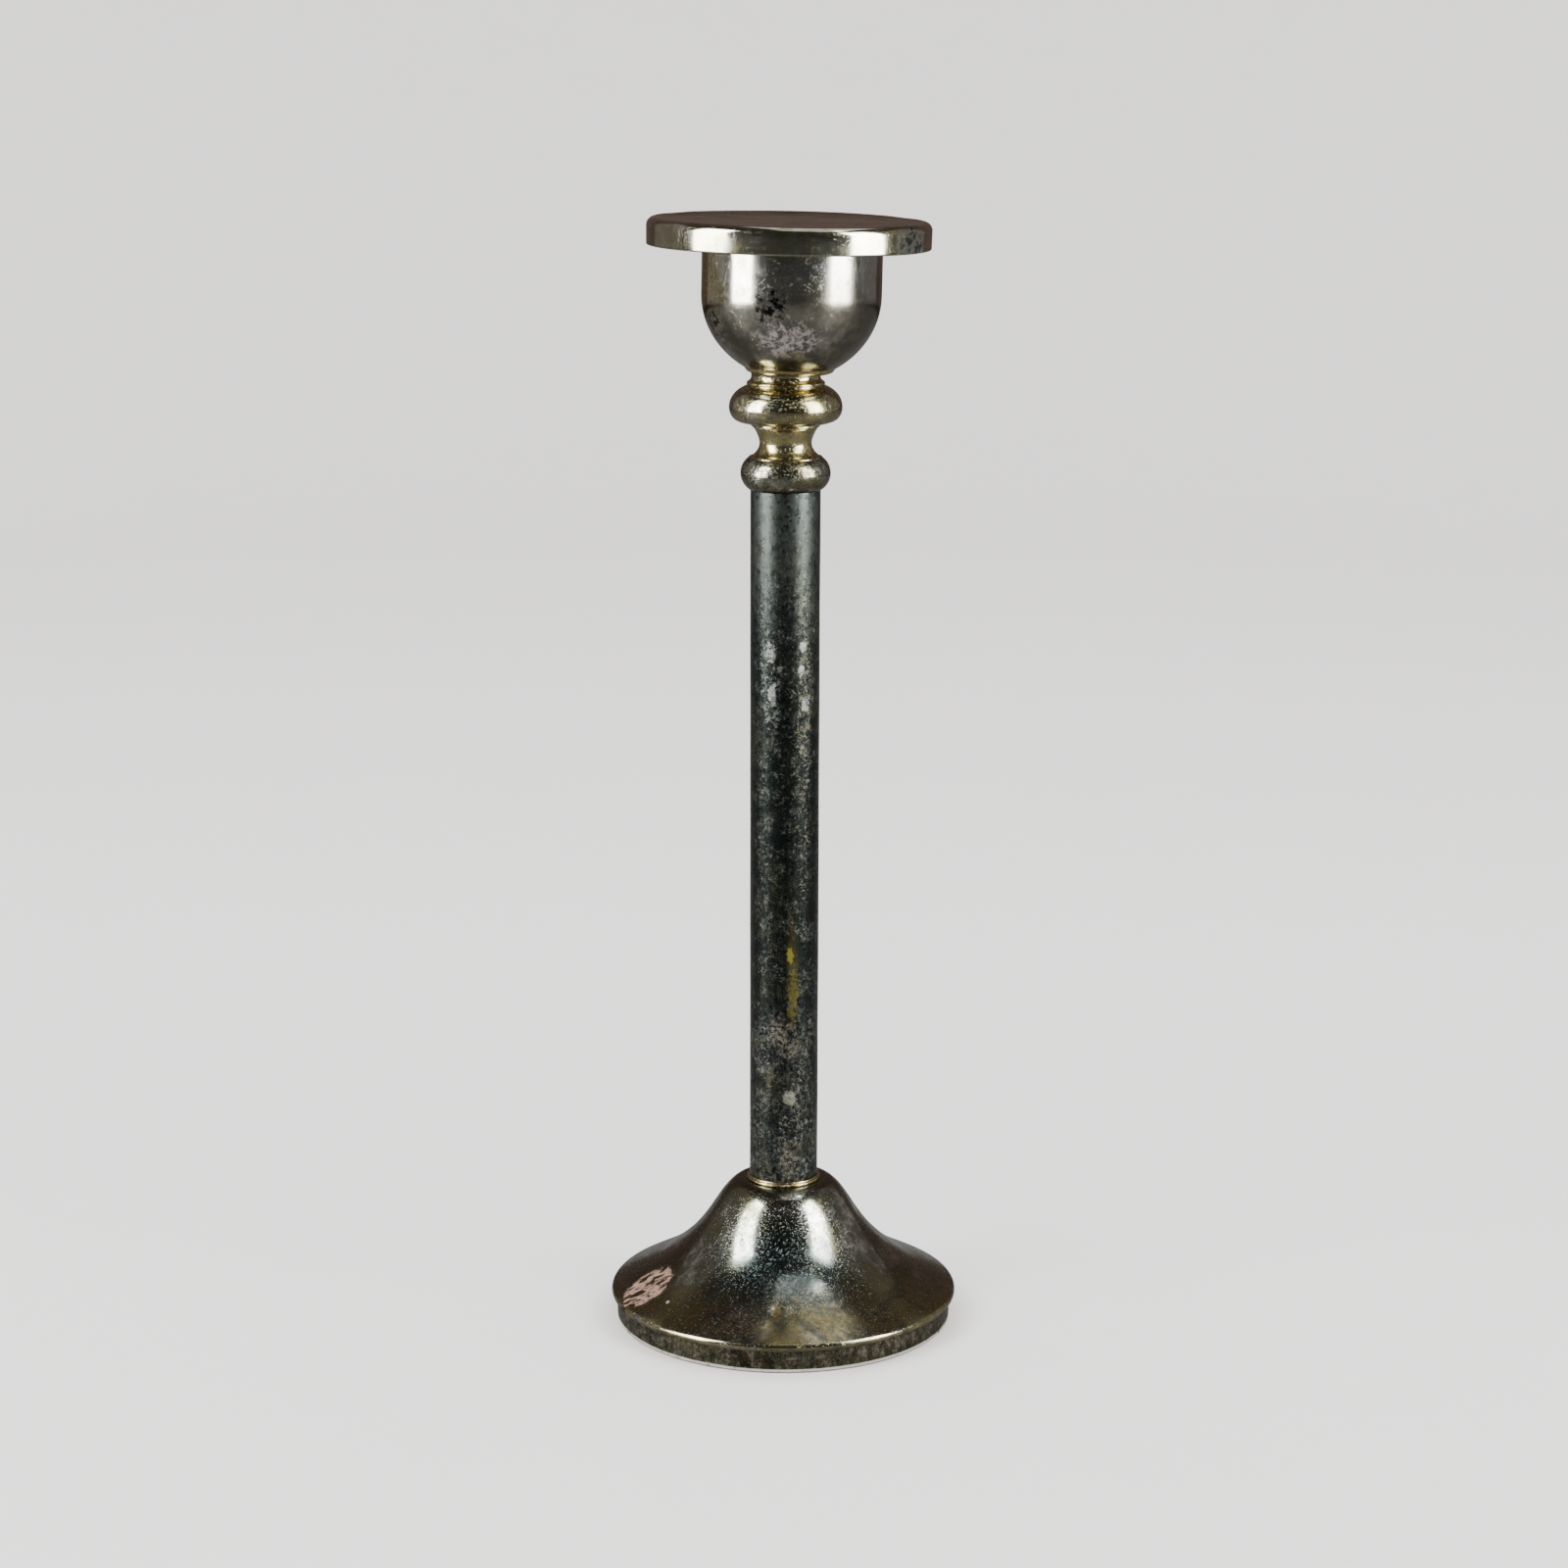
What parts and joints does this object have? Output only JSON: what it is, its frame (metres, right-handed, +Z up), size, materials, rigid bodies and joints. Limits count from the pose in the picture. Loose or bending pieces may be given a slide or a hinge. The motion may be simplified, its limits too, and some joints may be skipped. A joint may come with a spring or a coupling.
{
  "type": "silver candlestick",
  "caption": "Tall silver-plated candlestick: bell foot, plain tube column, turned knop stack, deep cup and a loose round drip pan that lifts off.",
  "frame": {"origin": "centre of the foot at the table, on the column's axis", "axes": "+Z up along the column; the cup and pan lean slightly towards +X; -Y is the front"},
  "size_m": [0.1128, 0.1128, 0.3569],
  "materials": {
    "silver_plate": "silver plate on brass, tarnished dark, polished by handling",
    "worn_brass": "brass where the silver plate has worn through",
    "steel": "plain steel, dull",
    "iron": "rough casting",
    "felt": "green baize"
  },
  "bodies": {
    "candlestick": {"cup": "silver_plate", "cup_foot_ring": "worn_brass", "cup_washer": "steel", "cup_nut": "steel", "knop": "silver_plate", "fillet_ring": "worn_brass", "neck_spool": "worn_brass", "lower_ring": "silver_plate", "column_top_plug": "worn_brass", "column_tube": "silver_plate", "column_bottom_plug": "worn_brass", "column_collar": "worn_brass", "base_bell": "silver_plate", "bell_backing_disc": "steel", "base_lock_washer": "steel", "base_nut": "steel", "tie_rod": "steel", "foot_band": "silver_plate", "base_weight": "iron", "base_plate": "steel", "felt_pad": "felt"},
    "pan": {"drip_pan": "silver_plate", "pan_collar": "worn_brass"}
  },
  "joints": [
    {"name": "pan_lift", "type": "slide", "parent": "candlestick", "child": "pan", "axis": [0.0192, 0, 0.9998], "range_m": [0, 0.04]}
  ]
}
